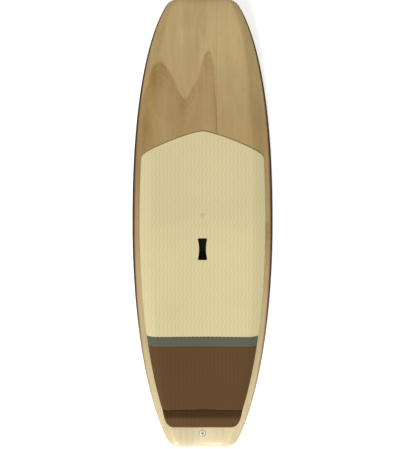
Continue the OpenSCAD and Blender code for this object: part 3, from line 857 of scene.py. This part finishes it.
def pad_mesh(name, outline, holes, material, top=PAD_T):
    """A foam layer on the deck, with a rounded edge along its outline and holes."""
    loops = [(resample(outline, 8.0), 1)] + [(resample(h, 4.0), -1) for h in holes]
    verts, faces, normals = [], [], []
    inner_loops = []
    profile = [(0.0, -0.5, 0.0), (0.0, top - 1.4, 0.15), (0.5, top - 0.45, 0.6), (1.5, top, 1.0)]
    for loop, sign in loops:
        starts = []
        for inward, height, upright in profile:
            moved = offset_loop(loop, inward) if sign > 0 else offset_loop(loop[::-1], -inward)[::-1]
            out_loop = offset_loop(loop, -1.0) if sign > 0 else offset_loop(loop[::-1], 1.0)[::-1]
            starts.append(len(verts))
            for (x, y), (ox, oy), (lx, ly) in zip(moved, out_loop, loop):
                verts.append((x, y, deck_height(x, y) + height))
                side = Vector((ox - lx, oy - ly, 0)).normalized()
                normals.append((surface_normal(x, y) * upright + side * (1 - upright)).normalized())
        n = len(loop)
        for s0, s1 in zip(starts, starts[1:]):
            for i in range(n):
                j = (i + 1) % n
                quad = (s0 + i, s0 + j, s1 + j, s1 + i)
                faces.append(quad if sign > 0 else quad[::-1])
        inner_loops.append((starts[-1], n))
    outer = [verts[inner_loops[0][0] + i][:2] for i in range(inner_loops[0][1])]
    hole_loops = [[verts[s + i][:2] for i in range(n)] for s, n in inner_loops[1:]]
    ys = [p[1] for p in outer]
    grid = []
    count = max(2, int((max(ys) - min(ys)) / GRID_STEP))
    for k in range(1, count):
        y = min(ys) + (max(ys) - min(ys)) * k / count
        width = half_w(y)
        crest = width - CREST_IN * full(y)
        for s in np.linspace(-1, 1, 27):
            grid.append((s * crest, y))
        for t in (0.93, 0.86, 0.79, 0.72, 0.65, 0.58, 0.51, 0.45, 0.39):
            x = up_point(y, 0, t)[0]
            grid += [(x, y), (-x, y)]
    grid = np.array(grid)
    keep = inside(outer, grid) & (distance_to(outer, grid) > 4.0)
    for hole in hole_loops:
        keep &= ~inside(hole, grid) & (distance_to(hole, grid) > 3.0)
    grid = grid[keep]
    flat = [Vector(p) for loop in [outer] + hole_loops for p in loop] + [Vector(p) for p in grid]
    ids, edges, at = [], [], 0
    for start, n in inner_loops:
        ids += [start + i for i in range(n)]
        edges += [(at + i, at + (i + 1) % n) for i in range(n)]
        at += n
    for p in grid:
        ids.append(len(verts))
        verts.append((p[0], p[1], deck_height(p[0], p[1]) + top))
        normals.append(surface_normal(p[0], p[1]))
    co, _, tris, source, _, _ = delaunay_2d_cdt(flat, edges, [], 0, 1e-5)
    centres = np.array([sum((co[v] for v in t), Vector((0, 0))) / 3 for t in tris])
    good = inside(outer, centres)
    for hole in hole_loops:
        good &= ~inside(hole, centres)
    for tri, ok in zip(tris, good):
        if ok:
            face = [ids[source[v][0]] for v in tri]
            a, b, c = (verts[i] for i in face)
            if (b[0] - a[0]) * (c[1] - a[1]) - (b[1] - a[1]) * (c[0] - a[0]) < 0:
                face.reverse()
            faces.append(face)
    return obj_from(name, verts, faces, material, normals=normals)


def side_x(y):
    """Half the width of a pad at y."""
    return half_w(y) - PAD_IN


def round_corner(a, b, c, r, steps=8):
    """Points of an arc that rounds the corner at b of the path a, b, c."""
    a, b, c = Vector(a), Vector(b), Vector(c)
    u, v = (a - b).normalized(), (c - b).normalized()
    half = math.acos(max(-1, min(1, u.dot(v)))) / 2
    reach = r / math.tan(half)
    centre = b + (u + v).normalized() * (r / math.sin(half))
    p, q = b + u * reach, b + v * reach
    start, end = math.atan2(*(p - centre).yx), math.atan2(*(q - centre).yx)
    turn = (end - start + math.pi) % (2 * math.pi) - math.pi
    angles = [start + turn * k / steps for k in range(steps + 1)]
    return [(centre.x + r * math.cos(t), centre.y + r * math.sin(t)) for t in angles]


def front_y(x):
    return PAD_FRONT - 106.0 * (abs(x) / 289.0) ** 1.35


def front_outline():
    """Front pad, anticlockwise from its rear left corner, with a finely toothed rear edge."""
    corner_x = 290.0
    for _ in range(30):
        corner_x = side_x(front_y(corner_x))
    corner = (corner_x, front_y(corner_x))
    below = (side_x(corner[1] - 80), corner[1] - 80)
    beside = (corner_x - 60, front_y(corner_x - 60))
    arc = round_corner(below, corner, beside, PAD_CORNER_R)
    tooth, depth = 10.4, 1.6
    rear_x = side_x(BAND_FRONT) - 1.0
    count = int(rear_x / tooth)
    rear = [(k * tooth, BAND_FRONT + (depth if k % 2 else -depth)) for k in range(-count, count + 1)]
    lower = [(rear_x - 6.0, BAND_FRONT + 1.5), (rear_x, BAND_FRONT + 9.0)]
    side = [(side_x(y), y) for y in np.linspace(BAND_FRONT + 20, arc[0][1], 60)]
    steps = np.linspace(arc[-1][0], 0, 24)[1:]
    front = [(x, front_y(x)) for x in steps]
    right = lower + side[:-1] + arc + front
    return rear + right + [(-x, y) for x, y in right[-2::-1]]


def strip_outline(y0, y1):
    """A pad between two lines across the deck, anticlockwise from its rear left corner."""
    side = [(side_x(y), y) for y in np.linspace(y0, y1, 14)]
    rear = [(x, y0) for x in np.linspace(-side_x(y0), side_x(y0), 40)[:-1]]
    front = [(x, y1) for x in np.linspace(side_x(y1), -side_x(y1), 40)[1:-1]]
    return rear + side + front + [(-x, y) for x, y in side[::-1]][:-1]


handle_hole = [(x, HANDLE_Y + y) for x, y in mouth_outline(0.0)]
vent_hole = circle(PAD_HOLE_R, 40, 0.0, VENT_Y)
front_pad = pad_mesh("front_pad_foam", front_outline(), [handle_hole, vent_hole], cream_foam)
place(front_pad, "board", "cream_pad", "front_pad")
band_outline = strip_outline(BAND_REAR + 0.3, BAND_FRONT - 2.4)
band_pad = pad_mesh("band_pad_foam", band_outline, [], grey_foam, top=PAD_T - 0.6)
place(band_pad, "board", "grey_pad", "band_pad")
tail_pad = pad_mesh("tail_pad_foam", strip_outline(KICK_FRONT + 0.2, BAND_REAR - 0.3), [], brown_foam)
place(tail_pad, "board", "brown_pad", "tail_pad")


# ---- Kick at the tail ----

def kick_outline():
    """Half of the kick's outline, from its rear middle to its front right corner."""
    corner = (side_x(KICK_REAR), KICK_REAR)
    above = (side_x(KICK_REAR + 60), KICK_REAR + 60)
    arc = round_corner((corner[0] - 80, KICK_REAR), corner, above, KICK_CORNER_R, 14)
    return arc


def kick_half_width(y):
    """Half the kick's width at y."""
    arc = kick_outline()
    if y >= arc[-1][1]:
        return side_x(y)
    ys = [p[1] for p in arc]
    xs = [p[0] for p in arc]
    return float(np.interp(y, ys, xs))


def kick_top_z(y):
    """Height of the kick's top at y, with a soft break above the ramp and a rounded rear edge."""
    ramp_top = KICK_FRONT - KICK_RAMP
    slope = (KICK_TOP - KICK_FOOT) / KICK_RAMP
    ramp = KICK_FOOT + slope * (KICK_FRONT - y)
    soft = 2.5
    value = KICK_TOP - soft * math.log(math.exp(-(ramp - KICK_TOP) / soft) + 1)
    value -= KICK_FALL * max(0.0, ramp_top - y)
    k = max(0.0, (KICK_REAR + KICK_ROUND - y) / KICK_ROUND)
    return value - KICK_ROUND * (1 - math.sqrt(max(0.0, 1 - min(1.0, k) ** 2)))


def kick_meshes():
    rows = list(np.linspace(KICK_FRONT, KICK_FRONT - KICK_RAMP - 8, 14))
    rows += list(np.linspace(-1034, KICK_REAR + 12, 8))
    rows += [KICK_REAR + KICK_ROUND * (1 - math.sin(math.radians(a))) for a in range(0, 91, 9)]
    rows = sorted(set(round(float(y), 3) for y in rows))
    across = 40
    edge = 4.0

    def strip(top_of, low_of, name, material, y_rows, grow=0.0):
        verts = []
        for y in y_rows:
            w = kick_half_width(y) + grow
            top = top_of(y)
            line = []
            for a in (0, 22.5, 45, 67.5, 90):
                t = math.radians(a)
                drop = edge * (1 - math.sin(t))
                line.append((w - edge * (1 - math.cos(t)), top - drop))
            inner = [(w - edge - (w - edge) * k / across, top) for k in range(1, across + 1)]
            half = line + inner
            full_line = half + [(-x, z) for x, z in half[-2::-1]]
            bottom = [(x, max(low_of(x, y), 0)) for x, z in full_line[::-1]]
            bottom = [(x, min(z, top - 0.2)) for x, z in bottom]
            for x, z in full_line + bottom:
                verts.append((x, y, z))
        faces = tube_faces(len(y_rows), len(full_line) + len(bottom))
        return obj_from(name, verts, faces, material)

    def cover_low(x, y):
        return max(kick_top_z(y) - KICK_SKIN, deck_height(min(abs(x), half_w(y) - 20), y) - 1.0)

    cover = strip(kick_top_z, cover_low, "kick_cover_foam", brown_foam, rows)
    place(cover, "board", "brown_pad", "kick_cover")
    wedge_rows = [y for y in rows if y < KICK_FRONT - 8]

    def wedge_top(y):
        return kick_top_z(y) - KICK_SKIN + 0.05

    def wedge_low(x, y):
        return deck_height(min(abs(x), half_w(y) - 20), y) - 1.0

    wedge = strip(wedge_top, wedge_low, "kick_wedge_foam", black_foam, wedge_rows, grow=-0.6)
    place(wedge, "board", "black_foam", "kick_wedge")


kick_meshes()


# ---- Hidden end blocks, drawn in to follow the rounded ends ----

def block_mesh(name, sign):
    rows = [sign * y for y in np.linspace(1136.0, HALF_L - 5.0, 12)]
    verts = []
    for y in rows:
        d = SKIN_T + end_inset(y + sign * 4.0)[0]
        half = [low_point(y, d, t) for t in (1.0, 0.8, 0.62, 0.5, 0.25, 0.0)]
        half += [up_point(y, d, t) for t in (0.12, 0.24, 0.42, 0.56, 0.7, 0.85, 1.0)]
        half += [deck_point(y, d, s) for s in (0.75, 0.5, 0.25)]
        loop = half + [deck_point(y, d, 0.0)] + [(-x, z) for x, z in half[::-1]]
        verts += [(x, y, z) for x, z in loop]
    faces = tube_faces(len(rows), len(loop))
    if sign < 0:
        faces = [(f[0], *f[:0:-1]) for f in faces]
    return obj_from(name, verts, faces, inner_wood, smooth=False)


place(block_mesh("nose_block_wood", 1), "board", "block_wood", "nose_block")
place(block_mesh("tail_block_wood", -1), "board", "block_wood", "tail_block")

# ---- Fittings: the CAD shapes with their edges rounded ----

def rounded(node, body, slot, material, width, segments=3):
    """A copy of a CAD node's shape, with every sharp edge rounded."""
    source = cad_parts[node]
    bm = bmesh.new()
    bm.from_mesh(source.data)
    bm.transform(source.matrix_world)
    bmesh.ops.remove_doubles(bm, verts=bm.verts, dist=2e-6)
    bmesh.ops.dissolve_limit(bm, angle_limit=math.radians(1.0), verts=bm.verts, edges=bm.edges)
    mesh = bpy.data.meshes.new(node + "_shape")
    bm.to_mesh(mesh)
    bm.free()
    mesh.polygons.foreach_set("use_smooth", [True] * len(mesh.polygons))
    mesh.materials.append(material)
    obj = linked(node + "_shape", mesh)
    mod = obj.modifiers.new("bevel", "BEVEL")
    mod.width = width * MM
    mod.segments = segments
    mod.limit_method = "ANGLE"
    mod.angle_limit = math.radians(32)
    mod.harden_normals = True
    mod.use_clamp_overlap = True
    apply_modifiers(obj)
    place(obj, body, slot, node)


rounded("handle_cup", "board", "black_plastic", black_plastic, 0.9)
rounded("leash_cup", "board", "white_plastic", white_plastic, 0.6)
rounded("leash_ring", "board", "tan_plastic", tan_plastic, 0.5)
rounded("vent_housing", "board", "grey_plastic", vent_plastic, 0.4)
for i in range(1, 11):
    rounded("grub_screw_%d" % i, "grub_%d" % i, "steel", steel, 0.2, 2)

# ---- Vent cap: turned head with a coin slot on a hollow shank ----

VENT_HEAD_Z = 3.15
VENT_HEAD_R, VENT_HEAD_H, VENT_RIM = 10.0, 3.5, 1.1
VENT_SHANK_R, VENT_SHANK_H, VENT_BORE_R = 6.0, 9.0, 2.5
SLOT_LENGTH, SLOT_WIDTH, SLOT_DEPTH = 14.0, 1.6, 1.6


def turned(name, profile, matrix, steps=64):
    """A closed solid turned about Z; the profile's (radius, height) points start and end on the axis."""
    bm = bmesh.new()
    rings = []
    for r, z in profile:
        turns = steps if r > 0 else 1
        angles = [2 * math.pi * k / steps for k in range(turns)]
        rings.append([bm.verts.new(matrix @ Vector((r * math.cos(a), r * math.sin(a), z))) for a in angles])
    for low, high in zip(rings, rings[1:]):
        for k in range(steps):
            j = (k + 1) % steps
            corners = [low[k % len(low)], low[j % len(low)], high[j % len(high)], high[k % len(high)]]
            bm.faces.new(list(dict.fromkeys(corners)))
    bmesh.ops.recalc_face_normals(bm, faces=bm.faces)
    mesh = bpy.data.meshes.new(name)
    bm.to_mesh(mesh)
    bm.free()
    return linked(name, mesh)


def cut(obj, *cutters):
    """Takes closed meshes, held in bmesh form, out of obj."""
    for bm in cutters:
        bmesh.ops.recalc_face_normals(bm, faces=bm.faces)
        mesh = bpy.data.meshes.new("cutter")
        bm.to_mesh(mesh)
        bm.free()
        cutter = linked("cutter", mesh)
        mod = obj.modifiers.new("cut", "BOOLEAN")
        mod.operation = "DIFFERENCE"
        mod.solver = "EXACT"
        mod.object = cutter
        apply_modifiers(obj)
        bpy.data.objects.remove(cutter)


def prism_cutter(outline, low, high, matrix):
    bm = bmesh.new()
    prism(bm, outline, low, high, matrix)
    return bm


def slot_outline(length, width, r, step=15):
    """Rounded rectangle, longer along X."""
    x, y = length / 2 - r, width / 2 - r
    points = []
    for cx, cy, start in ((x, -y, -90), (x, y, 0), (-x, y, 90), (-x, -y, 180)):
        for a in range(start, start + 91, step):
            points.append((cx + r * math.cos(math.radians(a)), cy + r * math.sin(math.radians(a))))
    return points


def finish_fitting(obj, material, body, slot, node):
    obj.data.polygons.foreach_set("use_smooth", [True] * len(obj.data.polygons))
    obj.data.set_sharp_from_angle(angle=math.radians(35))
    obj.data.materials.clear()
    obj.data.materials.append(material)
    place(obj, body, slot, node)


def vent_cap():
    low, top = VENT_HEAD_Z, VENT_HEAD_Z + VENT_HEAD_H
    angles = [math.radians(a) for a in range(0, 91, 15)]
    rim = [(VENT_HEAD_R - VENT_RIM * (1 - math.cos(a)), top - VENT_RIM * (1 - math.sin(a))) for a in angles]
    profile = [(0, low), (VENT_BORE_R, low), (VENT_BORE_R, low - VENT_SHANK_H),
               (VENT_SHANK_R - 0.6, low - VENT_SHANK_H), (VENT_SHANK_R, low - VENT_SHANK_H + 0.6),
               (VENT_SHANK_R, low), (VENT_HEAD_R - 0.3, low), (VENT_HEAD_R, low + 0.3)]
    cap = turned("vent_cap_shape", profile + rim + [(0, top)], on_deck(VENT_Y) @ Matrix.Scale(MM, 4))
    slot = slot_outline(SLOT_LENGTH, SLOT_WIDTH, SLOT_WIDTH * 0.4)
    cut(cap, prism_cutter(slot, top - SLOT_DEPTH, top + 1, on_deck(VENT_Y)))
    finish_fitting(cap, vent_metal, "vent_cap", "vent_metal", "vent_screw")


vent_cap()

# ---- Fin plugs: turned bodies with a slot for the fin's tab and a leaning screw bore ----

PLUG_RIM = 0.5
TAB_LENGTH, TAB_WIDTH, TAB_DEPTH, TAB_CORNER = 25.0, 6.5, 14, 1.0
BORE_R, BORE_MOUTH, BORE_LEAN = 2.5, 9.5, 40.0


def fin_plug(index, x, y, toe):
    matrix = at_plug(x, y, toe)
    angles = [math.radians(a) for a in range(0, 91, 30)]
    rim = [(PLUG_R - PLUG_RIM * (1 - math.sin(a)), PLUG_RIM * (1 - math.cos(a))) for a in angles]
    plug = turned("fin_plug_%d_shape" % index, [(0, 0)] + rim + [(PLUG_R, PLUG_H), (0, PLUG_H)],
                  matrix @ Matrix.Scale(MM, 4))
    slot = [(py, px) for px, py in slot_outline(TAB_LENGTH, TAB_WIDTH, TAB_CORNER)][::-1]
    lean = math.radians(BORE_LEAN)
    reach = (BORE_MOUTH - TAB_WIDTH / 2) / math.sin(lean) + BORE_R / math.tan(lean) + 0.5
    along = matrix @ Matrix.Translation((BORE_MOUTH * MM, 0, 0)) @ Matrix.Rotation(-lean, 4, "Y")
    cut(plug, prism_cutter(slot, -1, TAB_DEPTH, matrix), prism_cutter(circle(BORE_R), -5, reach, along))
    finish_fitting(plug, plug_plastic, "board", "grey_plastic", "fin_plug_%d" % index)


for index, (x, y, toe) in enumerate(plug_places()):
    fin_plug(index + 1, x, y, toe)

# ---- CAD nodes that stay, in better materials ----

KEPT = {
    "core_left": inner_foam, "core_right": inner_foam, "stringer": inner_wood, "handle_block": inner_foam,
    "leash_block": inner_foam, "fin_block_left": inner_foam, "fin_block_right": inner_foam,
    "fin_block_rear": inner_foam,
    "vent_o_ring": black_rubber, "vent_membrane": white_plastic, "leash_bar": steel,
}
for node, material in KEPT.items():
    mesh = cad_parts[node].data
    mesh.materials.clear()
    mesh.materials.append(material)

# ---- Floor, light and camera ----

floor_mesh = bpy.data.meshes.new("floor")
reach = 40.0
floor_mesh.from_pydata([(-reach, -reach, 0), (reach, -reach, 0), (reach, reach, 0), (-reach, reach, 0)],
                       [], [(0, 1, 2, 3)])
floor_nodes = Nodes("floor")
pale = floor_nodes.finish(srgb(250, 250, 249), 0.9, Emission_Color=(1, 1, 1, 1), Emission_Strength=0.5)
floor_mesh.materials.append(pale)
floor = linked("floor", floor_mesh)
floor.location.z = cad_box[0][2] - 0.0005

world = bpy.data.worlds.new("studio")
world.use_nodes = True
world.node_tree.nodes["Background"].inputs["Color"].default_value = (1.0, 1.0, 1.0, 1)
world.node_tree.nodes["Background"].inputs["Strength"].default_value = 0.3
bpy.context.scene.world = world


def area_light(name, where, aim, size, power):
    light = bpy.data.lights.new(name, "AREA")
    light.shape = "SQUARE"
    light.size = size
    light.energy = power
    obj = linked(name, light)
    obj.location = where
    obj.rotation_euler = (Vector(aim) - Vector(where)).to_track_quat("-Z", "Y").to_euler()


area_light("key", (-2.2, -10.0, 7.6), (0, 0, 0.1), 3.6, 1480)
area_light("fill", (0.8, 2.0, 8.0), (0, 0, 0.1), 5.0, 90)

camera_data = bpy.data.cameras.new("camera")
camera_data.sensor_fit = "HORIZONTAL"
camera_data.sensor_width = 36.0
camera_data.lens = 46.48
camera = linked("camera", camera_data)
camera.location = (0, 0, 2.913)
bpy.context.scene.camera = camera
bpy.context.scene.view_settings.view_transform = "Standard"
